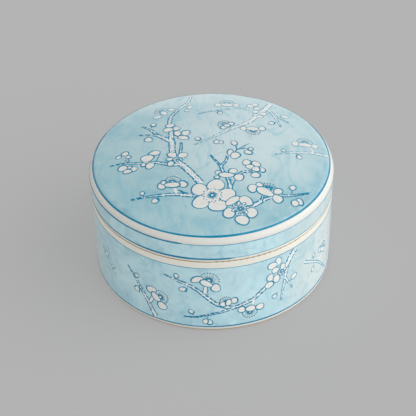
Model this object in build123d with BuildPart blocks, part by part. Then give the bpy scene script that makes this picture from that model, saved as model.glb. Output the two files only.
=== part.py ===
"""Round glazed porcelain box: a straight-sided bowl and a lift-off domed lid.

The axis of the box is Z. The origin is the centre of the foot, on the surface that the
box stands on. Both pieces are solids of revolution, drawn as half profiles in the XZ plane.
"""

import os

from build123d import *

# Driving dimensions, in millimetres.

# Whole box
outer_radius = 75.0
total_height = 81.2
seam_height = 55.3

# Bowl wall, floor and foot
wall_thickness = 6.2
floor_height = 8.0
inner_floor_fillet = 9.0
foot_edge_fillet = 1.8
foot_ring_width = 5.0
foot_recess_depth = 2.8
foot_recess_fillet = 1.2
foot_inner_fillet = 1.0

# Ledge that carries the lid, and the collar that stands inside the lid
ledge_width = 3.6
collar_height = 6.5
collar_lip_fillet = 1.1
seam_edge_fillet = 0.9

# Lid
collar_clearance = 0.6
lid_flare = 0.4
shoulder_fillet = 6.3
dome_radius = 340.0
lid_top_thickness = 4.2
inner_shoulder_fillet = 5.0
lid_rim_inner_fillet = 0.6

# Derived sizes
collar_radius = outer_radius - ledge_width
cavity_radius = outer_radius - wall_thickness
collar_top = seam_height + collar_height
foot_recess_radius = outer_radius - foot_edge_fillet - foot_ring_width
skirt_radius = collar_radius + collar_clearance
shoulder_radius = outer_radius + lid_flare


def dome_height(crown, sphere_radius, radius):
    """Height at a radius of a sphere whose top is at the height crown."""
    return crown - sphere_radius + (sphere_radius**2 - radius**2) ** 0.5


# Bowl: floor, wall, ledge and collar in one profile, hollowed from above and below.
with BuildPart() as bowl:
    with BuildSketch(Plane.XZ) as bowl_body:
        with BuildLine() as bowl_outline:
            FilletPolyline(
                (0, 0),
                (outer_radius, 0),
                (outer_radius, seam_height),
                (collar_radius, seam_height),
                (collar_radius, collar_top),
                (0, collar_top),
                close=True,
                radius=[0, foot_edge_fillet, seam_edge_fillet, 0, collar_lip_fillet, 0],
            )
        make_face()
    revolve(axis=Axis.Z)

    with BuildSketch(Plane.XZ) as bowl_cavity:
        with BuildLine() as cavity_outline:
            FilletPolyline(
                (0, floor_height),
                (cavity_radius, floor_height),
                (cavity_radius, collar_top),
                (0, collar_top),
                close=True,
                radius=[0, inner_floor_fillet, 0, 0],
            )
        make_face()
    revolve(axis=Axis.Z, mode=Mode.SUBTRACT)

    with BuildSketch(Plane.XZ) as foot_recess:
        with BuildLine() as recess_outline:
            FilletPolyline(
                (0, 0),
                (foot_recess_radius, 0),
                (foot_recess_radius, foot_recess_depth),
                (0, foot_recess_depth),
                close=True,
                radius=[0, 0, foot_recess_fillet, 0],
            )
        make_face()
    revolve(axis=Axis.Z, mode=Mode.SUBTRACT)

    highest_circles = bowl.edges().filter_by(GeomType.CIRCLE).group_by(Axis.Z)[-1]
    collar_mouth = highest_circles.sort_by(SortBy.RADIUS)[0]
    fillet(collar_mouth, collar_lip_fillet)

    lowest_circles = bowl.edges().filter_by(GeomType.CIRCLE).group_by(Axis.Z)[0]
    foot_inner_edge = lowest_circles.sort_by(SortBy.RADIUS)[0]
    fillet(foot_inner_edge, foot_inner_fillet)

bowl.part.label = "bowl"

# Lid: a skirt that rests on the ledge, a rounded shoulder and a shallow dome.
with BuildPart() as lid:
    shoulder_height = dome_height(total_height, dome_radius, shoulder_radius)
    with BuildSketch(Plane.XZ) as lid_body:
        with BuildLine() as lid_outline:
            dome = ThreePointArc(
                (0, total_height),
                (shoulder_radius / 2, dome_height(total_height, dome_radius, shoulder_radius / 2)),
                (shoulder_radius, shoulder_height),
            )
            Polyline(dome @ 1, (outer_radius, seam_height), (0, seam_height), dome @ 0)
        make_face()
        outer_shoulder = lid_body.vertices().group_by(Axis.X)[-1]
        fillet(outer_shoulder, shoulder_fillet)
    revolve(axis=Axis.Z)

    inner_top = total_height - lid_top_thickness
    inner_dome_radius = dome_radius - lid_top_thickness
    inner_shoulder_height = dome_height(inner_top, inner_dome_radius, skirt_radius)
    with BuildSketch(Plane.XZ) as lid_hollow:
        with BuildLine() as hollow_outline:
            inner_dome = ThreePointArc(
                (0, inner_top),
                (skirt_radius / 2, dome_height(inner_top, inner_dome_radius, skirt_radius / 2)),
                (skirt_radius, inner_shoulder_height),
            )
            Polyline(inner_dome @ 1, (skirt_radius, seam_height), (0, seam_height), inner_dome @ 0)
        make_face()
        inner_shoulder = lid_hollow.vertices().group_by(Axis.X)[-1].sort_by(Axis.Y)[-1]
        fillet(inner_shoulder, inner_shoulder_fillet)
    revolve(axis=Axis.Z, mode=Mode.SUBTRACT)

    rim_circles = lid.edges().filter_by(GeomType.CIRCLE).group_by(Axis.Z)[0]
    fillet(rim_circles.sort_by(SortBy.RADIUS)[-1], seam_edge_fillet)

    rim_circles = lid.edges().filter_by(GeomType.CIRCLE).group_by(Axis.Z)[0]
    fillet(rim_circles.sort_by(SortBy.RADIUS)[0], lid_rim_inner_fillet)

lid.part.label = "lid"

os.makedirs("parts", exist_ok=True)
for piece in (bowl, lid):
    export_step(piece.part, f"parts/{piece.part.label}.step")
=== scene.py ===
"""Looks of a round glazed porcelain box with blue and white blossom painting.

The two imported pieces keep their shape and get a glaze. The painting is laid on them as thin
closed enamel, drawn flat in millimetres on two canvases and then draped: the top of the lid,
seen from above, and the wall of the bowl, unrolled.
"""

import math
import random

import bpy
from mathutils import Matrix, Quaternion, Vector
from mathutils.geometry import delaunay_2d_cdt


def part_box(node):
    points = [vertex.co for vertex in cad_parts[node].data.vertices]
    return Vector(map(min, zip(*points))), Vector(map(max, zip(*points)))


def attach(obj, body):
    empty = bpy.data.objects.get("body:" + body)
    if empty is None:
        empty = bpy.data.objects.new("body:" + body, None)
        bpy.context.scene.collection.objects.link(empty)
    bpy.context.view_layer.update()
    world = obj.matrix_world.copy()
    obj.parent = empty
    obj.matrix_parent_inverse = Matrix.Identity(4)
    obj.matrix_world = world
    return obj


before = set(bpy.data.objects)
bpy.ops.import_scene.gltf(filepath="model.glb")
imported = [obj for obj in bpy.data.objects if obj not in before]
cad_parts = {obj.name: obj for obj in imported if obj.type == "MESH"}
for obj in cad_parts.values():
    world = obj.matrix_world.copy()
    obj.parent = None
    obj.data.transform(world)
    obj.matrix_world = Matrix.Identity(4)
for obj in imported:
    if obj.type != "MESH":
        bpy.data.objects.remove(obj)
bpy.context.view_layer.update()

MM = 0.001

# Shape of the two pieces, in millimetres. The first three are read from the frame, and the
# rest repeat the driving dimensions of the CAD model.
OUTER_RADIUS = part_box("bowl")[1].x / MM
SEAM_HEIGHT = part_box("lid")[0].z / MM
TOTAL_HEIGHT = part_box("lid")[1].z / MM
DOME_RADIUS = 340.0
LID_THICKNESS = 4.2
SHOULDER_FILLET = 6.3
SHOULDER_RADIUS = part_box("lid")[1].x / MM
LEDGE_WIDTH = 3.6

# Centre of the shoulder's arc in the half profile
SHOULDER_CENTRE_R = SHOULDER_RADIUS - SHOULDER_FILLET
SHOULDER_CENTRE_Z = (
    TOTAL_HEIGHT - DOME_RADIUS
    + math.sqrt((DOME_RADIUS - SHOULDER_FILLET) ** 2 - SHOULDER_CENTRE_R**2)
)

# Enamel stands this far out of the glaze and reaches this far into it
ENAMEL_PROUD = 0.06
ENAMEL_SUNK = 0.08

rng = random.Random(11)


# ---------------------------------------------------------------- camera, floor and lights

CAMERA_PLACE = (0.0, -622.75, 542.38)
CAMERA_AIM = (-2.65, 0.0, 34.79)
CAMERA_LENS = 109.73
CAMERA_ROLL = -1.125


def make_camera():
    data = bpy.data.cameras.new("camera")
    data.lens = CAMERA_LENS
    data.sensor_width = 36.0
    data.clip_start = 0.01
    data.clip_end = 50.0
    camera = bpy.data.objects.new("camera", data)
    bpy.context.scene.collection.objects.link(camera)
    camera.location = Vector(CAMERA_PLACE) * MM
    aim = (Vector(CAMERA_AIM) - Vector(CAMERA_PLACE)).to_track_quat("-Z", "Y")
    roll = aim @ Vector((0, 0, 1))
    camera.rotation_mode = "QUATERNION"
    camera.rotation_quaternion = Quaternion(roll, math.radians(CAMERA_ROLL)) @ aim
    bpy.context.scene.camera = camera


# The floor glows a little, which keeps the shadows light
FLOOR_COLOUR = (0.15, 0.15, 0.15)
FLOOR_GLOW = 0.306
FLOOR_HALF = 4.0


def make_floor():
    mesh = bpy.data.meshes.new("floor")
    corners = ((-1, -1), (1, -1), (1, 1), (-1, 1))
    mesh.from_pydata([(x * FLOOR_HALF, y * FLOOR_HALF, 0) for x, y in corners], [], [(0, 1, 2, 3)])
    floor = bpy.data.objects.new("floor", mesh)
    bpy.context.scene.collection.objects.link(floor)
    material = bpy.data.materials.new("floor")
    material.use_nodes = True
    shader = material.node_tree.nodes["Principled BSDF"]
    shader.inputs["Base Color"].default_value = (*FLOOR_COLOUR, 1)
    shader.inputs["Roughness"].default_value = 0.9
    shader.inputs["Specular IOR Level"].default_value = 0.0
    shader.inputs["Emission Color"].default_value = (1, 1, 1, 1)
    shader.inputs["Emission Strength"].default_value = FLOOR_GLOW
    mesh.materials.append(material)


# Radiance of the soft surroundings: everywhere, in addition low down all round, and in addition
# in the wide soft lamp on the right. The pairs are where the last two fade out and are full, as
# the sine of the height above the horizon and as the cosine of the angle from the lamp's middle.
OVERHEAD = 0.25
HORIZON = 1.15
HORIZON_FADE = (0.85, 0.10)
LAMP = 2.15
LAMP_FADE = (0.60, 0.98)
LAMP_TOWARDS = Vector((0.79, -0.19, 0.58)).normalized()
BACKGROUND = (0.456, 0.456, 0.456)


def make_world():
    world = bpy.data.worlds.new("studio")
    world.use_nodes = True
    tree = world.node_tree
    link = tree.links.new

    def node(kind, *values, **settings):
        made = tree.nodes.new(kind)
        for key, value in settings.items():
            setattr(made, key, value)
        for socket, value in zip(made.inputs, values):
            if isinstance(value, bpy.types.NodeSocket):
                link(value, socket)
            else:
                socket.default_value = value
        return made

    towards = node("ShaderNodeTexCoord").outputs["Generated"]
    height = node("ShaderNodeSeparateXYZ", towards).outputs["Z"]
    low = node("ShaderNodeMapRange", height, HORIZON_FADE[1], HORIZON_FADE[0], 1.0, 0.0,
               interpolation_type="SMOOTHSTEP")
    room = node("ShaderNodeMath", low.outputs["Result"], HORIZON, OVERHEAD, operation="MULTIPLY_ADD")
    faced = node("ShaderNodeVectorMath", towards, tuple(LAMP_TOWARDS), operation="DOT_PRODUCT")
    lamp = node("ShaderNodeMapRange", faced.outputs["Value"], *LAMP_FADE, 0.0, LAMP,
                interpolation_type="SMOOTHSTEP")
    light = node("ShaderNodeMath", room.outputs[0], lamp.outputs["Result"], operation="ADD")
    lit = node("ShaderNodeBackground", (1, 1, 1, 1), light.outputs[0])
    plain = node("ShaderNodeBackground", (*BACKGROUND, 1), 1.0)
    seen = node("ShaderNodeLightPath").outputs["Is Camera Ray"]
    mixed = node("ShaderNodeMixShader", seen, lit.outputs[0], plain.outputs[0])
    link(mixed.outputs[0], tree.nodes["World Output"].inputs["Surface"])
    bpy.context.scene.world = world
    bpy.context.scene.view_settings.view_transform = "Standard"


make_camera()
make_floor()
make_world()


# ---------------------------------------------------------------- the surfaces that are painted

def dome_point(x, y):
    """Point and outward normal on the dome above (x, y), in millimetres."""
    height = math.sqrt(DOME_RADIUS**2 - x * x - y * y)
    normal = Vector((x, y, height)) / DOME_RADIUS
    return Vector((x, y, TOTAL_HEIGHT - DOME_RADIUS + height)), normal


def wall_point(along, height):
    """Point and outward normal on the wall of the bowl, along being an arc length from the front."""
    angle = along / OUTER_RADIUS
    normal = Vector((math.sin(angle), -math.cos(angle), 0))
    return normal * OUTER_RADIUS + Vector((0, 0, height)), normal


def profile_point(radius, height):
    """Point and outward normal of the outer half profile nearest to a radius and height."""
    if height >= SHOULDER_CENTRE_Z and radius > SHOULDER_CENTRE_R:
        arm = Vector((radius - SHOULDER_CENTRE_R, height - SHOULDER_CENTRE_Z)).normalized()
        centre = Vector((SHOULDER_CENTRE_R, SHOULDER_CENTRE_Z))
        return centre + arm * SHOULDER_FILLET, arm
    return Vector((radius, height)), Vector((1, 0))


# ---------------------------------------------------------------- the canvas

# A triangle of the drawing that is thinner than this is left out, in millimetres
THINNEST = 0.01

# Points of the drawing that are closer than this become one, in millimetres
MERGE_WITHIN = 1e-5


class Canvas:
    """Flat drawing that is cut into faces of one colour each. What is drawn later covers."""

    def __init__(self, surface, shift=(0.0, 0.0)):
        self.surface = surface
        self.shift = Vector(shift)
        self.points = []
        self.faces = []
        self.colours = []

    def polygon(self, outline, colour):
        """Simple outline, drawn anticlockwise."""
        first = len(self.points)
        self.points.extend(outline)
        self.faces.append(list(range(first, first + len(outline))))
        self.colours.append(colour)

    def strip(self, left, right, colour):
        """Band between two lines of equally many points."""
        first = len(self.points)
        self.points.extend(left)
        self.points.extend(right)
        n = len(left)
        for i in range(n - 1):
            a, b, c, d = first + i, first + i + 1, first + n + i + 1, first + n + i
            for corners in ((a, b, c), (a, c, d)):
                p, q, r = (self.points[k] for k in corners)
                turn = (q - p).cross(r - p)
                longest = max((q - p).length, (r - q).length, (p - r).length)
                if abs(turn) > THINNEST * longest:
                    self.faces.append(list(corners if turn > 0 else corners[::-1]))
                    self.colours.append(colour)

    def covers(self, face, spot):
        """Whether a drawn face lies over this spot."""
        inside = False
        corners = [self.points[k] for k in self.faces[face]]
        for p, q in zip(corners, corners[1:] + corners[:1]):
            if (p.y > spot.y) != (q.y > spot.y):
                crossing = p.x + (q.x - p.x) * (spot.y - p.y) / (q.y - p.y)
                inside ^= spot.x < crossing
        return inside

    def cut(self):
        """Cuts the drawing into triangles: the cut points, and {colour: triangles}."""
        points, _, triangles, _, _, owners = delaunay_2d_cdt(
            [Vector(p) for p in self.points], [], self.faces, 1, MERGE_WITHIN, True
        )
        by_colour = {}
        for triangle, owner in zip(triangles, owners):
            # the cutter can name a face that lies elsewhere, so each is tried
            a, b, c = (points[i] for i in triangle)
            middle = (a + b + c) / 3
            top = next((k for k in sorted(owner, reverse=True) if self.covers(k, middle)), None)
            colour = GROUND if top is None else self.colours[top]
            if colour is not GROUND:
                by_colour.setdefault(colour, []).append(triangle)
        return [p + self.shift for p in points], by_colour


# Colours of the drawing; the ground is bare glaze
GROUND = None
WHITE = "white"
PALE = "pale"
DARK = "dark"
SOFT = "soft"


def enamel_mesh(name, canvas, points, triangles):
    """Closed enamel over these triangles, draped on the canvas's surface."""
    used = sorted({i for t in triangles for i in t})
    index = {old: new for new, old in enumerate(used)}
    tops, bottoms, normals = [], [], []
    for i in used:
        place, normal = canvas.surface(*points[i])
        tops.append((place + normal * ENAMEL_PROUD) * MM)
        bottoms.append((place - normal * ENAMEL_SUNK) * MM)
        normals.append(normal)
    n = len(used)
    top_faces = [tuple(index[i] for i in t) for t in triangles]
    edges = {}
    for a, b, c in top_faces:
        for edge in ((a, b), (b, c), (c, a)):
            edges[edge] = True
    faces = list(top_faces)
    faces += [(n + c, n + b, n + a) for a, b, c in top_faces]
    faces += [(q, p, n + p, n + q) for p, q in edges if (q, p) not in edges]
    mesh = bpy.data.meshes.new(name)
    mesh.from_pydata(tops + bottoms, [], faces)
    mesh.polygons.foreach_set("use_smooth", [True] * len(mesh.polygons))
    mesh.normals_split_custom_set_from_vertices(normals + normals)
    piece = bpy.data.objects.new(name, mesh)
    bpy.context.scene.collection.objects.link(piece)
    return piece


# ---------------------------------------------------------------- brush work, in millimetres

def smooth_line(points, step=0.8):
    """Curve through the points, as evenly spaced points."""
    points = [Vector(p) for p in points]
    if len(points) == 2:
        points.insert(1, (points[0] + points[1]) / 2)
    padded = [2 * points[0] - points[1]] + points + [2 * points[-1] - points[-2]]
    fine = []
    for a, b, c, d in zip(padded, padded[1:], padded[2:], padded[3:]):
        for k in range(8):
            t = k / 8
            fine.append(0.5 * (2 * b + (c - a) * t + (2 * a - 5 * b + 4 * c - d) * t * t
                               + (3 * b - a - 3 * c + d) * t**3))
    fine.append(points[-1])
    lengths = [0.0]
    for a, b in zip(fine, fine[1:]):
        lengths.append(lengths[-1] + (b - a).length)
    count = max(2, round(lengths[-1] / step))
    even, k = [], 0
    for i in range(count + 1):
        want = lengths[-1] * i / count
        while k < len(lengths) - 2 and lengths[k + 1] < want:
            k += 1
        share = (want - lengths[k]) / max(1e-9, lengths[k + 1] - lengths[k])
        even.append(fine[k].lerp(fine[k + 1], share))
    return even


def sideways(line):
    """Unit vectors to the left of a line, at each of its points."""
    out = []
    for i in range(len(line)):
        along = line[min(i + 1, len(line) - 1)] - line[max(i - 1, 0)]
        along.normalize()
        out.append(Vector((-along.y, along.x)))
    return out


def stroke(art, line, widths, colour):
    """Band along an evenly spaced line, with one width for each point."""
    left, right = [], []
    for point, side, width in zip(line, sideways(line), widths):
        left.append(point + side * width / 2)
        right.append(point - side * width / 2)
    art.strip(left, right, colour)


def brush(art, points, colour, width, end_width=None, step=0.8):
    """Free stroke through a few points, pressed harder in its middle."""
    line = smooth_line(points, step)
    end_width = width if end_width is None else end_width
    last = len(line) - 1
    widths = []
    for i in range(last + 1):
        t = i / last
        press = 0.35 + 0.65 * math.sin(math.pi * min(1, max(0, t * 0.9 + 0.05))) ** 0.5
        widths.append((width + (end_width - width) * t) * press * rng.uniform(0.88, 1.12))
    stroke(art, line, widths, colour)


def blob(x, y, rx, ry, tilt=0.0, grow=0.0, uneven=0.05, count=26, seed=0.0):
    """Outline of a roughly oval shape, larger by grow all round."""
    c, s = math.cos(math.radians(tilt)), math.sin(math.radians(tilt))
    outline = []
    for i in range(count):
        a = 2 * math.pi * i / count
        wave = 1 + uneven * math.sin(2 * a + seed) + 0.6 * uneven * math.sin(3 * a + 2.3 * seed)
        px = (rx * wave + grow) * math.cos(a)
        py = (ry * wave + grow) * math.sin(a)
        outline.append(Vector((x + px * c - py * s, y + px * s + py * c)))
    return outline


def dot(art, x, y, radius, colour, count=8):
    art.polygon(blob(x, y, radius, radius, uneven=0, count=count), colour)


# Usual width of the outline of a petal, and how far petals are from plain ovals
LINE = 0.80
PETAL_UNEVEN = 0.08


def petal(art, x, y, rx, ry=None, tilt=0.0, gap=0.0, line=LINE, ink=DARK, fill=WHITE):
    """Petal with a brushed outline, and a gap of bare glaze between the two if asked."""
    ry = rx if ry is None else ry
    seed = rng.uniform(0, 6.28)
    press = rng.uniform(0, 6.28)
    outer = blob(x, y, rx, ry, tilt, gap + line, PETAL_UNEVEN, seed=seed)
    inner = blob(x, y, rx, ry, tilt, gap, PETAL_UNEVEN, seed=seed)
    # the outline swells and thins as a brush line does
    for i, (o, n) in enumerate(zip(outer, inner)):
        a = 2 * math.pi * i / len(outer)
        outer[i] = n + (o - n) * (0.85 + 0.3 * math.sin(a + press))
    art.polygon(outer, ink)
    art.polygon(inner, GROUND if gap > 0 else fill)
    if gap > 0:
        art.polygon(blob(x, y, rx, ry, tilt, 0, PETAL_UNEVEN, seed=seed), fill)
    # loose points inside make the petal's surface follow the curve of the box
    for share in (0.66, 0.33):
        art.points.extend(blob(x, y, rx * share, ry * share, tilt, 0, count=10))


def branch(art, points, start, end, line=0.88, broken=0.35, ink=DARK, fill=PALE, marks=0.35):
    """Branch as two broken outlines with a pale core, from one width to another."""
    centre = smooth_line(points, 0.7)
    sides = sideways(centre)
    last = len(centre) - 1
    widths = [(start + (end - start) * i / last) * rng.uniform(0.90, 1.10) for i in range(last + 1)]
    stroke(art, centre, [max(0.2, w - line * 0.2) for w in widths], fill)
    for hand in (-1, 1):
        i = rng.randrange(0, 2)
        while i < last:
            stop = min(last, i + rng.randrange(2, 7))
            part = [centre[k] + sides[k] * hand * (widths[k] / 2 - line * 0.1)
                    for k in range(i, stop + 1)]
            press = [line * rng.uniform(0.75, 1.35) for _ in part]
            press[0] *= 0.55
            press[-1] *= 0.55
            stroke(art, part, press, ink)
            i = stop + (1 if rng.random() < broken else 0)
    for i in range(1, last):
        if widths[i] > 1.9 and rng.random() < marks:
            place = centre[i] + sides[i] * rng.uniform(-0.28, 0.28) * widths[i]
            along = (centre[i + 1] - centre[i]).normalized() * rng.uniform(0.25, 0.6)
            brush(art, [place - along, place + along], ink, rng.uniform(0.4, 0.65), step=0.4)


def twig(art, points, width, line=0.65, ink=DARK, fill=PALE):
    """Thin side shoot that runs to a point."""
    branch(art, points, width, width * 0.4, line, broken=0.3, ink=ink, fill=fill, marks=0)


def bud(art, x, y, size, aim=90.0, stem=0.0, gap=0.45, ink=DARK, line=0.42):
    """Round bud with its small cup, on a stem that runs back from it."""
    a = math.radians(aim)
    back = Vector((-math.cos(a), -math.sin(a)))
    side = Vector((-back.y, back.x))
    base = Vector((x, y)) + back * size
    if stem:
        brush(art, [base, base + back * stem], ink, 0.5, 0.6)
    petal(art, x, y, size, size * 0.85, aim, gap, line, ink)
    for hand in (-1, 1):
        tip = Vector((x, y)) + side * hand * (size * 0.8 + gap)
        brush(art, [base + back * 0.5, base + side * hand * size * 0.6, tip], ink, 0.5, 0.35, 0.6)


def stamens(art, x, y, aim, spread, reach, ink=DARK):
    """Half round heart with fine threads and two arcs of dots beyond them."""
    heart = reach * 0.38
    place = Vector((x, y))
    count = max(7, round(spread / 16))
    for k in range(count):
        a = math.radians(aim - spread / 2 + spread * k / (count - 1))
        out = Vector((math.cos(a), math.sin(a)))
        tip = place + out * reach * rng.uniform(0.6, 0.72)
        brush(art, [place + out * heart * 0.8, tip], ink, 0.45, 0.3, 0.5)
        far = place + out * reach * rng.uniform(0.9, 1.0)
        dot(art, far.x, far.y, 0.44, ink, 7)
        half = math.radians(spread / (count - 1) / 2)
        out = Vector((math.cos(a + half), math.sin(a + half)))
        brush(art, [place + out * heart * 1.1, place + out * reach * 0.8], WHITE, 0.4, 0.3, 0.5)
        far = place + out * reach * 1.16
        dot(art, far.x, far.y, 0.40, WHITE, 7)
    art.polygon(blob(x, y, heart, heart, uneven=0.03), ink)
    dot(art, x, y, heart * 0.42, WHITE, 10)


def side_blossom(art, x, y, aim, size, ink=DARK, line=LINE, gap=0.0):
    """Blossom seen from the side: two round petals, a wide one in front, stamens beyond."""
    a = math.radians(aim)
    up = Vector((math.cos(a), math.sin(a)))
    right = Vector((up.y, -up.x))
    heart = Vector((x, y)) + up * size * 0.26
    stamens(art, heart.x, heart.y, aim, 170, size * 0.62, ink)
    for hand in (-1, 1):
        place = Vector((x, y)) + right * hand * size * 0.73 - up * size * rng.uniform(-0.02, 0.08)
        petal(art, place.x, place.y, size * 0.27, size * 0.25, aim + 20 * hand, gap, line, ink)
    petal(art, x, y, size * 0.48, size * 0.23, aim - 90, gap * 0.5, line, ink)


def blossom_heart(art, x, y, size, ink=DARK):
    """Small round heart, fine threads and a ring of dots."""
    place = Vector((x, y))
    for k in range(22):
        a = math.radians(360 * k / 22 + rng.uniform(-4, 4))
        out = Vector((math.cos(a), math.sin(a)))
        tip = place + out * size * rng.uniform(0.22, 0.29)
        brush(art, [place + out * size * 0.1, tip], ink, 0.60, 0.32, 0.5)
        far = place + out * size * (0.43 if k % 2 else 0.37)
        dot(art, far.x, far.y, rng.uniform(0.38, 0.54), ink, 6)
    art.polygon(blob(x, y, size * 0.13, size * 0.13, uneven=0.05), ink)
    dot(art, x, y, size * 0.055, WHITE, 10)


def open_blossom(art, x, y, size, turn, ink=DARK, line=LINE - 0.04):
    """Five round petals seen from the front."""
    for k in (1, 3, 0, 2, 4):
        a = math.radians(turn + 72 * k)
        px, py = x + math.cos(a) * size * 0.63, y + math.sin(a) * size * 0.63
        petal(art, px, py, size * 0.35, size * 0.36, turn + 72 * k, 0, line, ink)
    art.polygon(blob(x, y, size * 0.4, size * 0.4, uneven=0.04), WHITE)
    blossom_heart(art, x, y, size, ink)


# ---------------------------------------------------------------- the painting on the lid

def paint_lid():
    """Branches of blossom seen from above; x to the right and y to the back."""
    art = Canvas(dome_point, shift=(0.2, -0.8))

    # Trunk from the large blossom up to the left
    branch(art, [(-18.7, -8), (-18.9, -2), (-18.6, 4), (-18.7, 9)], 2.0, 1.1, broken=0.1)
    trunk = [(-6.5, -31), (-12, -22), (-16.5, -15.5), (-20, -11), (-22.5, -6), (-24, 1), (-24.3, 9),
             (-25, 13)]
    branch(art, trunk, 4.0, 3.8, line=0.9, broken=0.2, marks=0.6)
    branch(art, [(-25, 11), (-29.5, 15), (-33.5, 19), (-37, 24.5), (-40.5, 28.5), (-43.5, 31)], 3.2, 0.9)
    twig(art, [(-33, 18.5), (-38.5, 20), (-45.5, 21)], 1.6, 0.7)
    branch(art, [(-25, 12), (-24.8, 20), (-26, 29), (-26, 36), (-25, 41), (-22.5, 46), (-20.5, 50)],
           3.3, 1.8, marks=0.6)
    branch(art, [(-20.5, 50), (-17, 55), (-14, 62), (-13, 68)], 2.0, 1.5, line=0.6, ink=SOFT)
    bud(art, -39, 15, 2.2, -80, 1.5, 0.5)
    bud(art, -36.4, 31.8, 1.4, 70, 2.2, 0.7)

    # Left branch with its clusters
    branch(art, [(-20, -13), (-25, -13), (-30, -10.8), (-36, -9), (-44, -8.6), (-50, -7.6)], 2.6, 1.4)
    twig(art, [(-49, -7.6), (-55, -6.8), (-62, -7.6)], 1.3, 0.75)
    for points in ([(-34, -9), (-32.5, -5), (-31.5, -1)], [(-50.5, -7), (-53, -3.5)], [(-50, -7), (-51, -2)]):
        brush(art, points, DARK, 0.7, 0.5)
    petal(art, -34.8, -0.2, 3.1, 2.3, 12)
    petal(art, -39.3, -4.7, 3.9, 3.0, -4)
    petal(art, -41.3, -10.6, 1.3)
    petal(art, -37.3, -12, 2.5)
    petal(art, -53.0, 2.7, 1.9, line=0.75)
    petal(art, -57.0, 0.0, 1.5, 1.2, line=0.7)
    petal(art, -51.0, -1.0, 1.3, line=0.7)
    petal(art, -49.6, -11.5, 1.1)
    petal(art, -47.0, -13.4, 1.9)
    petal(art, -51.0, -15.0, 2.3, 1.6)
    petal(art, -54.0, -11.5, 2.4)

    # Blossom at the fork of the trunk
    petal(art, -24.8, -11.8, 1.8, 2.0)
    petal(art, -25.6, -7.5, 1.8, 1.2)
    petal(art, -24.0, -3.3, 2.3, 2.7, 30)
    petal(art, -17.5, -4.4, 2.6)
    stamens(art, -20.6, -9.2, 80, 150, 3.4)

    # Petals around the upper trunk
    petal(art, -25.7, 28.9, 2.6, 1.9)
    petal(art, -22.0, 24.9, 2.1)
    petal(art, -27.0, 24.1, 2.8, 2.2)
    petal(art, -15.8, 19.1, 2.5)
    petal(art, -21.0, 19.3, 1.9, 2.7)
    petal(art, -17.3, 14.0, 3.1, 1.9, -18)

    # Blossom at the upper left
    stamens(art, -31.5, 48.5, 140, 150, 5.0, SOFT)
    petal(art, -25.3, 50.0, 2.1, 1.5, 8, ink=SOFT)
    petal(art, -30.0, 46.0, 1.9, 2.5, 35, ink=SOFT)
    petal(art, -34.0, 41.2, 2.3, 1.5, 20, line=0.6, ink=SOFT)
    petal(art, -13.5, 51.7, 1.3, 2.3, -25, line=0.6, ink=SOFT)
    petal(art, -15.2, 47.3, 1.4, 1.0, line=0.6, ink=SOFT)

    # Back: side blossom, twig below it, cluster and the branch that comes forward
    side_blossom(art, 10.5, 54.2, 92, 8.0, SOFT, 0.5)
    twig(art, [(24, 49.5), (17, 49.8), (10, 48), (3, 46), (-4, 44), (-9.5, 41)], 1.7, 0.6, ink=SOFT)
    bud(art, 5.8, 43, 1.4, -60, 2.5, 0.5, line=0.35)
    branch(art, [(38.5, 57.5), (35.5, 51), (32, 45), (28, 38), (24.5, 32.5), (19.5, 28.3), (13, 23.5)],
           3.7, 2.6, line=0.6, ink=SOFT)
    branch(art, [(13, 23.5), (8, 19), (3.5, 15.5), (-1, 12), (-5.5, 9), (-11, 5.5)],
           2.4, 0.7, line=0.55, ink=SOFT)
    branch(art, [(36.5, 50), (39, 45), (41, 39), (42.5, 33), (44.3, 27)], 2.4, 0.8, line=0.6, ink=SOFT)
    twig(art, [(40.5, 43), (44, 38.5), (49.5, 34)], 1.4, 0.6, ink=SOFT)
    petal(art, 28.6, 55.5, 1.9, line=0.55, ink=SOFT)
    petal(art, 25.4, 53.3, 2.1, 1.9, line=0.55, ink=SOFT)
    petal(art, 29.6, 50.3, 2.0, 1.7, line=0.55, ink=SOFT)
    petal(art, 28.5, 45.6, 1.9, 1.7, line=0.55, ink=SOFT)
    petal(art, 33.5, 43.4, 2.2, 1.7, -20, line=0.55, ink=SOFT)
    petal(art, 31.0, 39.4, 2.1, 1.5, line=0.55, ink=SOFT)
    petal(art, 28.4, 41.3, 1.5, 1.3, line=0.55, ink=SOFT)
    petal(art, 46.9, 41.6, 2.3, 1.4, -18, line=0.55, ink=SOFT)
    bud(art, 38.2, 32.0, 1.5, -150, 1.6, 0.6, line=0.36)
    stamens(art, 8.4, 28.2, 130, 160, 4.4)
    petal(art, 12.4, 28.8, 1.7)
    petal(art, 8.0, 24.5, 2.0, 1.5, 20)
    petal(art, 10.0, 26.8, 1.7, 1.4, 30)
    brush(art, [(24.5, 31), (26, 27.5)], PALE, 1.5, 1.2)
    side_blossom(art, 26.0, 23.8, -88, 8.0, line=0.5)
    bud(art, 3.2, 8.4, 1.6, -85, 2.0, 0.4)
    petal(art, 6.0, 7.8, 0.9, 1.3, gap=0.35, line=0.36)
    bud(art, -8.4, 12.0, 1.4, 110, 1.2, 0.6)

    # Right: side blossom on a pale branch
    branch(art, [(71, 1.4), (65, 2.3), (59, 2.0), (54, 1.3), (48, 0.3), (42, -1.6), (38.5, -3)],
           2.4, 0.8, line=0.5, ink=SOFT)
    brush(art, [(62.5, 3), (61.5, 7.5)], PALE, 1.3, 1.0)
    side_blossom(art, 57.8, 10.2, 88, 8.2, SOFT, 0.5)
    bud(art, 53.4, -3.1, 1.5, -70, 2.4, 0.5, line=0.36)
    bud(art, 44.2, 1.7, 1.0, 120, 1.0, 0.6, ink=SOFT)

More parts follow.
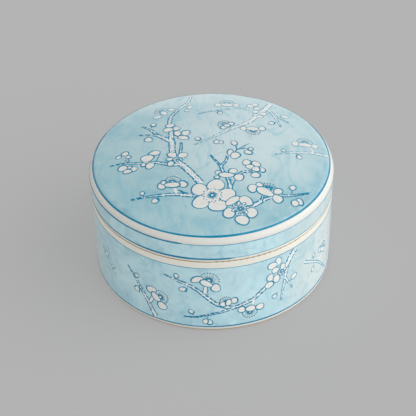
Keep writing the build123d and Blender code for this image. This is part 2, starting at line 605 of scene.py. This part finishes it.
    # Middle right: stem from the large blossom, forked twig and three clusters
    branch(art, [(10.5, -38), (10.8, -33), (12.5, -28)], 2.6, 2.6)
    branch(art, [(10.5, -33), (9.5, -28), (7.0, -22), (5.4, -16)], 2.0, 1.7)
    branch(art, [(5.4, -16), (2.5, -11), (-0.8, -5)], 1.5, 0.6)
    branch(art, [(5.4, -16), (8.3, -11.5), (9.8, -6)], 1.6, 1.2)
    branch(art, [(14.5, -24.5), (17.5, -21.8), (22, -20.4), (27, -20.8)], 1.8, 1.2)
    petal(art, 3.0, -26.0, 1.3, 1.0)
    petal(art, 4.0, -22.0, 1.7)
    petal(art, 12.6, -20.5, 2.2)
    petal(art, 16.0, -26.0, 2.8, 2.5)
    petal(art, 8.6, -24.0, 4.4, 2.0, 2)
    brush(art, [(14.5, -2), (15.5, 1), (14.8, 4.5)], DARK, 0.9, 0.6)
    brush(art, [(15.5, 0), (19, 3.3), (23.2, 7)], DARK, 0.9, 0.5)
    brush(art, [(17, 0.3), (21, 3.2)], DARK, 0.6, 0.4)
    brush(art, [(18, 1), (22, 1.6)], DARK, 0.6, 0.4)
    petal(art, 22.3, -2.0, 2.1, 1.5, -15, 0.25)
    petal(art, 24.0, 1.3, 1.1, 1.2, 0, 0.25)
    petal(art, 11.5, -2.8, 1.7, 2.6, -8)
    petal(art, 14.3, -5.6, 2.7, 2.8)
    bud(art, 14.0, 7.0, 1.9, 105, 1.6, 0.35)
    petal(art, 30.0, -18.6, 1.8, 1.8)
    petal(art, 26.7, -13.5, 2.5)
    petal(art, 21.0, -12.2, 2.3)
    petal(art, 23.0, -16.2, 2.3, 2.0)
    petal(art, 26.4, -18.0, 2.3, 1.8, 10)
    petal(art, 26.0, -23.5, 2.3, 2.2)

    # Lower right branch
    branch(art, [(23.5, -49.2), (28, -46), (32, -43), (37, -41)], 2.8, 1.8)
    branch(art, [(28.5, -45.5), (29.8, -41)], 1.5, 1.3)
    branch(art, [(40, -40), (45.5, -39.3), (51, -37.8), (58, -35.3)], 1.8, 0.8)
    stamens(art, 33.2, -35.2, 75, 150, 5.4)
    for angle in range(25, 140, 14):
        a = math.radians(angle)
        tip = (33.2 + 4.6 * math.cos(a), -35.0 + 4.2 * math.sin(a))
        brush(art, [(33.2 + 1.6 * math.cos(a), -35.0 + 1.6 * math.sin(a)), tip], DARK, 0.5, 0.35, 0.6)
    petal(art, 28.0, -31.8, 1.9, 1.6)
    petal(art, 23.9, -35.0, 2.7, 2.9)
    petal(art, 38.8, -36.6, 2.4, 2.2)
    petal(art, 38.2, -42.6, 2.8, 3.0)
    petal(art, 31.0, -37.4, 5.4, 2.6, -26)
    bud(art, 47.7, -32.5, 1.7, 80, 3.4, 0.5)
    petal(art, 51.2, -43.4, 1.6, 2.2, 25, 0.3)
    bud(art, 48.4, -45.0, 2.2, -80, 1.0, 0.35)

    # Lower left branch with its side blossom
    branch(art, [(-8, -41.2), (-14, -40.6), (-22, -39.2), (-32, -39.1), (-41, -39.6), (-48, -40.4)], 2.8, 0.8)
    twig(art, [(-10, -40.3), (-16, -38.5), (-20, -35.5)], 1.2)
    brush(art, [(-21, -38.3), (-22.4, -33.5)], PALE, 1.9, 1.7)
    side_blossom(art, -23.6, -31.0, 90, 8.6, gap=0.3)
    petal(art, -28.9, -28.6, 1.2, 1.4, 0, 0.2)
    bud(art, -41.3, -36.1, 1.2, 110, 1.6, 0.4)
    bud(art, -33.7, -43.2, 1.7, 170, 1.2, 0.35)
    brush(art, [(-31, -43), (-32, -40.5)], DARK, 0.7, 0.5)

    # The two open blossoms
    open_blossom(art, 0.0, -41.1, 13.5, 75)
    petal(art, 11.8, -45.6, 4.6, 2.4, 38)
    x, y = 16.2, -51.8
    outer_petals = ((207, 7.5, 3.3, 3.3), (-22, 7.0, 3.0, 3.7), (62, 7.2, 3.0, 4.2), (-84, 8.5, 3.1, 3.8))
    for angle, away, rx, ry in outer_petals:
        a = math.radians(angle)
        petal(art, x + away * math.cos(a), y + away * math.sin(a), rx, ry, angle)
    art.polygon(blob(x, y, 3.9, 4.3), WHITE)
    for angle in range(15, 375, 45):
        a = math.radians(angle)
        tilt = angle + rng.uniform(-35, 35)
        petal(art, x + 3.6 * math.cos(a), y + 4.0 * math.sin(a), 1.5, 0.8, tilt, line=0.5)
    blossom_heart(art, x, y, 9.0)
    return art


# ---------------------------------------------------------------- the painting on the bowl

def paint_wall():
    """Sprays on the wall; distances along it are arc lengths from the front."""
    art = Canvas(wall_point)
    degree = math.radians(1) * OUTER_RADIUS

    class Turned:
        """The same canvas, with everything drawn further round the bowl and higher up.

        It stands in for its own list of points, so that loose points are moved as well.
        """

        def __init__(self, degrees, rise=0.0):
            self.shift = Vector((degrees * degree, rise))
            self.points = self

        def moved(self, points):
            return [p + self.shift for p in points]

        def extend(self, points):
            art.points.extend(self.moved(points))

        def polygon(self, outline, colour):
            art.polygon(self.moved(outline), colour)

        def strip(self, left, right, colour):
            art.strip(self.moved(left), self.moved(right), colour)

    def upright_spray(at):
        """Twig that climbs to the left from the foot, with one side blossom."""
        art = Turned(at)
        branch(art, [(7.5, 4.3), (5, 9), (2.5, 14.5), (-1.5, 21.5), (-5.5, 28.5)], 3.2, 1.5)
        twig(art, [(-5.5, 28.5), (-9, 33), (-12.4, 37)], 1.3)
        brush(art, [(3.4, 15), (6.0, 20.5)], PALE, 1.8, 1.5)
        brush(art, [(4.4, 14.5), (7.0, 19.5)], DARK, 0.5, 0.4)
        brush(art, [(2.4, 16), (4.8, 20.5)], DARK, 0.5, 0.4)
        bud(art, -5.6, 32.0, 1.3, 60, 1.8, 0.5)
        bud(art, -5.8, 21.3, 1.7, -100, 1.0, 0.4)
        brush(art, [(-4.2, 19.0), (-3.8, 23), (-3.4, 25.5)], DARK, 0.9, 0.5)
        stamens(art, 10.8, 22.0, 30, 170, 5.2)
        petal(art, 5.0, 25.9, 3.3, 2.2, 5)
        petal(art, 11.9, 15.2, 2.8, 2.7)
        petal(art, 7.8, 21.0, 3.7, 1.9, -55)

    def hanging_spray(at):
        """Twig that falls to the right, with a side blossom above it."""
        art = Turned(at)
        branch(art, [(-22, 39), (-16, 37), (-10, 33.5), (-4.5, 28), (0.5, 23), (4.5, 20.7), (11, 18)],
               1.6, 2.8)
        twig(art, [(-22, 39), (-26, 40.5), (-30, 41.8)], 1.3)
        bud(art, -22.0, 42.3, 1.2, 80, 1.4, 0.5)
        bud(art, -18.4, 32.6, 1.7, 200, 1.0, 0.4)
        brush(art, [(-16.5, 30.5), (-15.5, 34.5)], DARK, 0.8, 0.5)
        brush(art, [(-4.6, 36.5), (-5.4, 30.5)], PALE, 1.8, 1.6)
        brush(art, [(-5.6, 36.3), (-6.4, 31)], DARK, 0.5, 0.4)
        brush(art, [(-3.4, 35.8), (-3.4, 30)], DARK, 0.5, 0.4)
        stamens(art, -2.8, 41.0, 62, 175, 6.2)
        petal(art, -9.6, 41.6, 3.3, 2.0, 24)
        petal(art, 1.4, 35.2, 2.7)
        petal(art, -4.2, 38.7, 3.9, 1.9, -36)
        stamens(art, 7.2, 23.6, 105, 150, 4.0)
        petal(art, 12.2, 24.0, 1.7, 2.2)
        petal(art, 5.6, 21.8, 1.9, 1.6)
        petal(art, 8.9, 22.8, 1.6, 2.2)

    def long_spray(at):
        """Long branch that rises to the right, blossom below it and a cluster at its fork."""
        art = Turned(at)
        branch(art, [(47, 39), (46, 33), (45, 26), (43.5, 18), (42.7, 12.5)], 2.4, 0.9, line=0.7, ink=SOFT)
        twig(art, [(45.5, 31), (48.5, 25), (52, 18.5)], 1.8, ink=SOFT)
        bough = [(12, 18), (18, 20), (24, 22.3), (28, 25.5), (33, 29.5), (40, 34), (46, 39), (49.5, 45),
                 (53.3, 49.3)]
        branch(art, bough, 1.9, 3.7)
        branch(art, [(12, 18), (6, 15.9), (0, 14.3), (-6, 12.6), (-12, 11), (-18.5, 10.7)], 1.7, 0.5)
        brush(art, [(24.2, 22), (23.6, 17.5)], PALE, 1.6, 1.3)
        bud(art, -13.6, 15.2, 1.3, 110, 1.8, 0.45)
        petal(art, -2.6, 7.4, 1.1, 1.7, 20, 0.3)
        bud(art, -5.2, 8.0, 1.6, -110, 2.6, 0.35)
        stamens(art, 22.0, 12.6, -92, 170, 5.0)
        petal(art, 16.8, 15.6, 2.3, 1.9)
        petal(art, 28.4, 14.8, 2.6, 2.0)
        petal(art, 22.4, 15.2, 3.2, 1.9)
        petal(art, 40.4, 46.0, 1.8, 3.1, 6, ink=SOFT)
        petal(art, 36.3, 44.2, 2.8, 2.3, -10, ink=SOFT)
        petal(art, 43.6, 40.6, 1.7, 1.9, ink=SOFT)
        petal(art, 38.4, 39.8, 2.3, 1.8, ink=SOFT)
        stamens(art, 43.2, 37.0, 200, 170, 3.4)
        petal(art, 35.0, 35.3, 2.1, 2.4, ink=SOFT)
        petal(art, 39.3, 32.8, 2.2, 2.6, ink=SOFT)
        petal(art, 34.3, 29.8, 2.5, 2.4)
        bud(art, 52.6, 27.8, 1.9, 40, 2.4, 0.4, SOFT)
        bud(art, 38.4, 19.0, 1.3, 230, 2.0, 0.5, SOFT)

    def thin_spray(at, rise=0.0, ink=DARK):
        """Slender twig that falls to the right, with one blossom above it."""
        art = Turned(at, rise)
        twig(art, [(-14, 36.5), (-7, 32), (0, 27), (6, 21), (14, 12)], 1.9, ink=ink)
        bud(art, -4.5, 24.3, 1.4, -110, 2.6, 0.45, ink)
        bud(art, -4.0, 35.0, 1.1, 80, 1.8, 0.45, ink)
        side_blossom(art, 7.5, 31.5, 60, 6.4, ink)
        brush(art, [(6.5, 29), (3.5, 25.5)], PALE, 1.2, 1.0)

    def small_twig(at):
        """Faint thin twig that climbs to the left, with two buds."""
        art = Turned(at)
        twig(art, [(8, 19.5), (3, 25), (-3, 30.5), (-7, 34)], 1.4, 0.5, ink=SOFT)
        bud(art, -1.2, 30.8, 1.5, 80, 1.2, 0.4, SOFT)
        bud(art, 6.0, 25.8, 1.2, 70, 1.4, 0.4, SOFT)

    upright_spray(-33.5)
    hanging_spray(0)
    long_spray(0)
    thin_spray(58, -3.6, SOFT)
    small_twig(-59)
    upright_spray(98)
    hanging_spray(140)
    long_spray(140)
    thin_spray(205)
    upright_spray(232)
    small_twig(262)
    return art


# Name of the pieces in each colour, and the two shades the colour varies between
INKS = {
    WHITE: ("petals", (0.660, 0.670, 0.640), (0.710, 0.715, 0.685)),
    PALE: ("branch_cores", (0.660, 0.700, 0.695), (0.710, 0.735, 0.720)),
    DARK: ("dark_lines", (0.002, 0.190, 0.325), (0.010, 0.255, 0.410)),
    SOFT: ("soft_lines", (0.075, 0.310, 0.450), (0.125, 0.380, 0.520)),
}

# The white is laid on thicker on the wall
WALL_WHITER = 1.12


# ---------------------------------------------------------------- materials

class Nodes:
    """Small help for building a node tree."""

    def __init__(self, name):
        self.material = bpy.data.materials.new(name)
        self.material.use_nodes = True
        self.tree = self.material.node_tree
        self.shader = self.tree.nodes["Principled BSDF"]

    def node(self, kind, **settings):
        made = self.tree.nodes.new(kind)
        for key, value in settings.items():
            setattr(made, key, value)
        return made

    def link(self, source, target):
        self.tree.links.new(source, target)

    def math(self, operation, a, b=None, c=None):
        made = self.node("ShaderNodeMath", operation=operation)
        for socket, value in zip(made.inputs, (a, b, c)):
            if value is None:
                continue
            if isinstance(value, (int, float)):
                socket.default_value = value
            else:
                self.link(value, socket)
        return made.outputs[0]

    def place(self):
        """Object coordinates, in metres in the frame of the box."""
        return self.node("ShaderNodeTexCoord").outputs["Object"]

    def scaled(self, vector, scale, turn=(0, 0, 0)):
        made = self.node("ShaderNodeMapping")
        made.inputs["Scale"].default_value = scale
        made.inputs["Rotation"].default_value = turn
        self.link(vector, made.inputs["Vector"])
        return made.outputs[0]

    def noise(self, vector, scale, detail=2.0, roughness=0.5, distortion=0.0):
        made = self.node("ShaderNodeTexNoise")
        made.inputs["Scale"].default_value = scale
        made.inputs["Detail"].default_value = detail
        made.inputs["Roughness"].default_value = roughness
        made.inputs["Distortion"].default_value = distortion
        self.link(vector, made.inputs["Vector"])
        return made.outputs["Fac"]

    def smooth(self, value, low, high):
        """0 below low, 1 above high."""
        made = self.node("ShaderNodeMapRange", interpolation_type="SMOOTHSTEP")
        made.inputs["From Min"].default_value = low
        made.inputs["From Max"].default_value = high
        self.link(value, made.inputs["Value"])
        return made.outputs["Result"]

    def mix(self, share, a, b):
        """Colour a where share is 0, b where it is 1."""
        made = self.node("ShaderNodeMix", data_type="RGBA")
        for socket, value in ((made.inputs[0], share), (made.inputs[6], a), (made.inputs[7], b)):
            if isinstance(value, tuple):
                socket.default_value = (*value, 1)
            elif isinstance(value, (int, float)):
                socket.default_value = value
            else:
                self.link(value, socket)
        return made.outputs[2]

    def bump(self, height, strength, distance):
        made = self.node("ShaderNodeBump")
        made.inputs["Strength"].default_value = strength
        made.inputs["Distance"].default_value = distance
        self.link(height, made.inputs["Height"])
        self.link(made.outputs[0], self.shader.inputs["Normal"])


# Colours of the glaze, the wash from deep to faint, and the bare clay
GLAZE_DEEP = (0.165, 0.405, 0.500)
GLAZE_THIN = (0.430, 0.595, 0.625)
GLAZE_PALE = (0.595, 0.695, 0.705)
GLAZE_FAINT = (0.680, 0.725, 0.710)
GLAZE_LIGHT = (0.640, 0.900, 0.980)
GLAZE_STREAK = (0.190, 0.460, 0.570)
GLAZE_WHITE = (0.660, 0.655, 0.620)
GLAZE_CREAM = (0.780, 0.765, 0.690)
BISCUIT = (0.450, 0.345, 0.225)
GLAZE_ROUGHNESS = 0.09
GLAZE_IOR = 1.33


# Tide lines of the wash: their width in units of the noise, and how strong they are
TIDE_WIDTH = 0.024
TIDE_STRENGTH = 0.36


def wash(kit, place, pale, wall):
    """Blue watercolour wash: pools, mottling, slanting streaks and tide lines.

    It is palest where pale is 1, which carries painted light and painted reflection. On the wall, where wall
    is 1, it is lighter than on the dome.
    """
    pools = kit.smooth(kit.noise(place, 20, 2, 0.5, 0.7), 0.30, 0.70)
    mottle = kit.smooth(kit.noise(place, 62, 5, 0.70, 0.6), 0.36, 0.64)
    slant = kit.scaled(place, (1, 0.36, 0.7), (0.2, 0.1, -0.9))
    streaks = kit.smooth(kit.noise(slant, 90, 3, 0.62, 1.6), 0.50, 0.70)
    shore = kit.noise(place, 34, 3, 0.55, 1.2)
    tide = kit.smooth(kit.math("ABSOLUTE", kit.math("SUBTRACT", shore, 0.47)), TIDE_WIDTH, 0.0)
    where = kit.smooth(kit.noise(place, 24, 1, 0.5), 0.46, 0.60)
    shown = kit.math("MULTIPLY", kit.math("MULTIPLY", tide, where), TIDE_STRENGTH)
    colour = kit.mix(kit.math("MULTIPLY_ADD", pools, 0.64, 0.12), GLAZE_DEEP, GLAZE_THIN)
    colour = kit.mix(kit.math("MULTIPLY", mottle, 0.60), colour, GLAZE_THIN)
    palest = kit.mix(wall, GLAZE_PALE, GLAZE_FAINT)
    colour = kit.mix(kit.math("MULTIPLY", pale, 0.78), colour, palest)
    lift = kit.math("MAXIMUM", kit.math("MULTIPLY_ADD", pale, -0.75, 0.52), 0.0)
    cloudy = kit.math("MULTIPLY_ADD", mottle, 0.42, 0.76)
    lift = kit.math("MULTIPLY", kit.math("MULTIPLY", lift, wall), cloudy)
    colour = kit.mix(lift, colour, GLAZE_LIGHT)
    strength = kit.math("MULTIPLY_ADD", wall, -0.12, 0.42)
    colour = kit.mix(kit.math("MULTIPLY", streaks, strength), colour, GLAZE_STREAK)
    return kit.mix(shown, colour, GLAZE_STREAK)


def painted_side_light(kit, x):
    """Painted light on the walls: the wash is painted palest towards the right, where the lamp falls, and
    less towards the left edge, as a painted reflection.
    """
    right = kit.smooth(x, 0.024, 0.074)
    left = kit.math("MULTIPLY", kit.smooth(x, -0.054, -0.074), 0.45)
    return kit.math("MULTIPLY_ADD", kit.math("MAXIMUM", right, left), 0.92, 0.12)


def soft_waves(kit, place):
    """Slight waviness of the fired glaze."""
    kit.bump(kit.noise(place, 55, 2, 0.5), 0.25, 0.0004)


def glaze_surface(kit, place, bare):
    """Gloss of the glaze, dull where the clay is bare."""
    grit = kit.noise(place, 2600, 2, 0.6)
    dull = kit.math("MULTIPLY_ADD", grit, 0.15, 0.55)
    rough = kit.node("ShaderNodeMix", data_type="FLOAT")
    rough.inputs[2].default_value = GLAZE_ROUGHNESS
    kit.link(bare, rough.inputs[0])
    kit.link(dull, rough.inputs[3])
    kit.link(rough.outputs[0], kit.shader.inputs["Roughness"])
    soft_waves(kit, place)
    kit.shader.inputs["IOR"].default_value = GLAZE_IOR


def split_place(kit):
    """Place, its three coordinates and the distance from the axis of the box."""
    place = kit.place()
    split = kit.node("ShaderNodeSeparateXYZ")
    kit.link(place, split.inputs[0])
    x, y, z = split.outputs
    radius = kit.math("SQRT", kit.math("ADD", kit.math("MULTIPLY", x, x), kit.math("MULTIPLY", y, y)))
    return place, x, y, radius, z


# Half the width of the edge between two colours of the glaze, in metres
EDGE = 0.00015


def step_up(kit, value, at):
    """Narrow edge: 0 below at, 1 above it. In millimetres."""
    return kit.smooth(value, at * MM - EDGE, at * MM + EDGE)


# Places of the painted lines, in millimetres
LID_TOP_LINE_RADIUS = 72.7
LID_TOP_LINE_HEIGHT = 72.8
LID_SHOULDER_LINE = 68.3
LID_RIM_LINE = 57.6
BOWL_RIM_LINE = 50.5
BOWL_FOOT_LINE = 3.6


def lid_glaze():
    kit = Nodes("lid_glaze")
    place, x, y, radius, z = split_place(kit)
    side = step_up(kit, z, LID_RIM_LINE - 0.25)
    band = step_up(kit, z, LID_SHOULDER_LINE)
    top = step_up(kit, z, LID_TOP_LINE_HEIGHT)
    # on the dome the wash is painted palest a little behind and to the right of the middle, and at the back,
    # as painted light and painted reflection on the glaze
    away = kit.node("ShaderNodeVectorMath", operation="DISTANCE")
    kit.link(place, away.inputs[0])
    away.inputs[1].default_value = (0.020, 0.010, 0.078)
    middle = kit.smooth(away.outputs["Value"], 0.084, 0.012)
    middle = kit.math("MAXIMUM", middle, kit.smooth(y, 0.026, 0.080))
    # painted light for the wash: the painted side light below the shoulder line, the dome's painted light and
    # reflection above it
    thin = kit.node("ShaderNodeMix", data_type="FLOAT")
    for number, value in ((0, band), (2, painted_side_light(kit, x)), (3, middle)):
        kit.link(value, thin.inputs[number])
    blue = wash(kit, place, thin.outputs[0], kit.math("SUBTRACT", 1.0, band))
    colour = kit.mix(side, GLAZE_CREAM, blue)
    colour = kit.mix(band, colour, GLAZE_WHITE)
    colour = kit.mix(top, colour, blue)
    # the underside is clear white glaze, and lies well below the dome's outer face
    drop = kit.math("SUBTRACT", DOME_RADIUS**2 * MM**2, kit.math("MULTIPLY", radius, radius))
    outer = kit.math("ADD", kit.math("SQRT", drop), (TOTAL_HEIGHT - DOME_RADIUS) * MM)
    depth = kit.math("SUBTRACT", outer, z)
    under = kit.math("MULTIPLY", step_up(kit, depth, LID_THICKNESS / 2),
                     kit.math("SUBTRACT", 1.0, step_up(kit, radius, OUTER_RADIUS - LEDGE_WIDTH + 0.9)))
    colour = kit.mix(under, colour, GLAZE_WHITE)
    bare = kit.math("SUBTRACT", 1.0, step_up(kit, z, SEAM_HEIGHT + 0.40))
    colour = kit.mix(bare, colour, BISCUIT)
    kit.link(colour, kit.shader.inputs["Base Color"])
    glaze_surface(kit, place, bare)
    return kit.material


def bowl_glaze():
    kit = Nodes("bowl_glaze")
    place, x, y, radius, z = split_place(kit)
    # the wash is painted paler towards the sides, as painted light and painted reflection
    blue = wash(kit, place, painted_side_light(kit, x), 1.0)
    colour = kit.mix(step_up(kit, z, BOWL_FOOT_LINE - 0.4), GLAZE_WHITE, blue)
    colour = kit.mix(step_up(kit, z, BOWL_RIM_LINE), colour, GLAZE_CREAM)
    inside = kit.math("SUBTRACT", 1.0, step_up(kit, radius, OUTER_RADIUS - 2.5))
    colour = kit.mix(inside, colour, GLAZE_WHITE)
    foot = kit.math("SUBTRACT", 1.0, step_up(kit, z, 1.7))
    ledge = kit.math("MULTIPLY", step_up(kit, z, SEAM_HEIGHT - 0.45),
                     step_up(kit, radius, OUTER_RADIUS - LEDGE_WIDTH - 0.6))
    bare = kit.math("MAXIMUM", foot, ledge)
    colour = kit.mix(bare, colour, BISCUIT)
    kit.link(colour, kit.shader.inputs["Base Color"])
    glaze_surface(kit, place, bare)
    return kit.material


def enamel(name, low, high):
    """Painted colour under the glaze, uneven as a loaded brush leaves it."""
    kit = Nodes(name)
    place = kit.place()
    uneven = kit.smooth(kit.noise(place, 320, 3, 0.6), 0.3, 0.7)
    kit.link(kit.mix(uneven, low, high), kit.shader.inputs["Base Color"])
    kit.shader.inputs["Roughness"].default_value = GLAZE_ROUGHNESS
    kit.shader.inputs["IOR"].default_value = GLAZE_IOR
    soft_waves(kit, place)
    return kit.material


# ---------------------------------------------------------------- painted rings

def ring(points, faces, normals, radius, height, width, start=-180.0, end=180.0, seed=0.0, step=1.0):
    """Closed enamel line on the outer profile, between two angles from the front in degrees."""
    place, arm = profile_point(radius, height)
    along = Vector((-arm.y, arm.x))
    count = max(3, round((end - start) / step))
    closed = end - start >= 360
    first = len(points)
    stations = count if closed else count + 1
    section = ((0.5, ENAMEL_PROUD), (-0.5, ENAMEL_PROUD), (-0.5, -ENAMEL_SUNK), (0.5, -ENAMEL_SUNK))
    for i in range(stations):
        a = math.radians(start + (end - start) * i / count)
        out = Vector((math.sin(a), -math.cos(a), 0))
        normal = out * arm.x + Vector((0, 0, arm.y))
        press = (1 + 0.13 * math.sin(3 * a + seed) + 0.09 * math.sin(7 * a + 2 * seed)
                 + 0.05 * math.sin(19 * a))
        if not closed:
            press *= min(1, 0.25 + 0.25 * min(i, count - i))
        drift = 0.10 * math.sin(2 * a + seed) + 0.05 * math.sin(5 * a)
        for side, lift in section:
            flat = place + along * (side * width * press + drift) + arm * lift
            points.append((out * flat.x + Vector((0, 0, flat.y))) * MM)
            normals.append(normal)
    for i in range(count):
        a = first + 4 * i
        b = first + 4 * ((i + 1) % stations)
        for k in range(4):
            faces.append((a + k, a + (k + 1) % 4, b + (k + 1) % 4, b + k))
    if not closed:
        last = first + 4 * count
        faces.append((first + 3, first + 2, first + 1, first))
        faces.append((last, last + 1, last + 2, last + 3))


def ring_piece(name, rings):
    """One piece made of several rings."""
    points, faces, normals = [], [], []
    for settings in rings:
        ring(points, faces, normals, **settings)
    mesh = bpy.data.meshes.new(name)
    mesh.from_pydata(points, [], faces)
    mesh.polygons.foreach_set("use_smooth", [True] * len(mesh.polygons))
    mesh.normals_split_custom_set_from_vertices(normals)
    piece = bpy.data.objects.new(name, mesh)
    bpy.context.scene.collection.objects.link(piece)
    return piece


# ---------------------------------------------------------------- assembly

def dress(piece, material, body):
    piece.data.materials.clear()
    piece.data.materials.append(material)
    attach(piece, body)


inks = {}
for body, whiter in (("lid", 1.0), ("bowl", WALL_WHITER)):
    for colour, (name, *shades) in INKS.items():
        gain = whiter if colour in (WHITE, PALE) else 1.0
        low, high = (tuple(gain * part for part in shade) for shade in shades)
        inks[body, colour] = enamel(f"{body}_{name}", low, high)

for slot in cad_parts["lid"].material_slots:
    slot.material = lid_glaze()
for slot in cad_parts["bowl"].material_slots:
    slot.material = bowl_glaze()

for body, paint in (("lid", paint_lid), ("bowl", paint_wall)):
    art = paint()
    points, by_colour = art.cut()
    for colour, triangles in by_colour.items():
        piece = enamel_mesh(f"{body}_{INKS[colour][0]}", art, points, triangles)
        dress(piece, inks[body, colour], body)

rings = {
    ("lid", DARK): [
        dict(radius=LID_TOP_LINE_RADIUS, height=LID_TOP_LINE_HEIGHT, width=1.15, start=-116, end=122,
             seed=0.4),
        dict(radius=OUTER_RADIUS + 0.3, height=LID_SHOULDER_LINE, width=1.1, start=-190, end=-13, seed=1.0),
        dict(radius=OUTER_RADIUS + 0.05, height=LID_RIM_LINE, width=1.15, start=-200, end=10, seed=2.0),
    ],
    ("lid", SOFT): [
        dict(radius=LID_TOP_LINE_RADIUS, height=LID_TOP_LINE_HEIGHT, width=0.25, start=121, end=245,
             seed=0.4),
        dict(radius=OUTER_RADIUS + 0.3, height=LID_SHOULDER_LINE, width=0.5, start=-14, end=172, seed=3.0),
        dict(radius=OUTER_RADIUS + 0.05, height=LID_RIM_LINE + 0.3, width=0.45, start=9, end=162, seed=4.0),
    ],
    ("bowl", SOFT): [
        dict(radius=OUTER_RADIUS, height=BOWL_RIM_LINE, width=0.5, seed=5.0),
    ],
    ("bowl", DARK): [
        dict(radius=OUTER_RADIUS, height=BOWL_FOOT_LINE, width=0.9, seed=6.0),
    ],
}
for (body, colour), settings in rings.items():
    name = "dark_rings" if colour == DARK else "soft_rings"
    piece = ring_piece(f"{body}_{name}", settings)
    dress(piece, inks[body, colour], body)
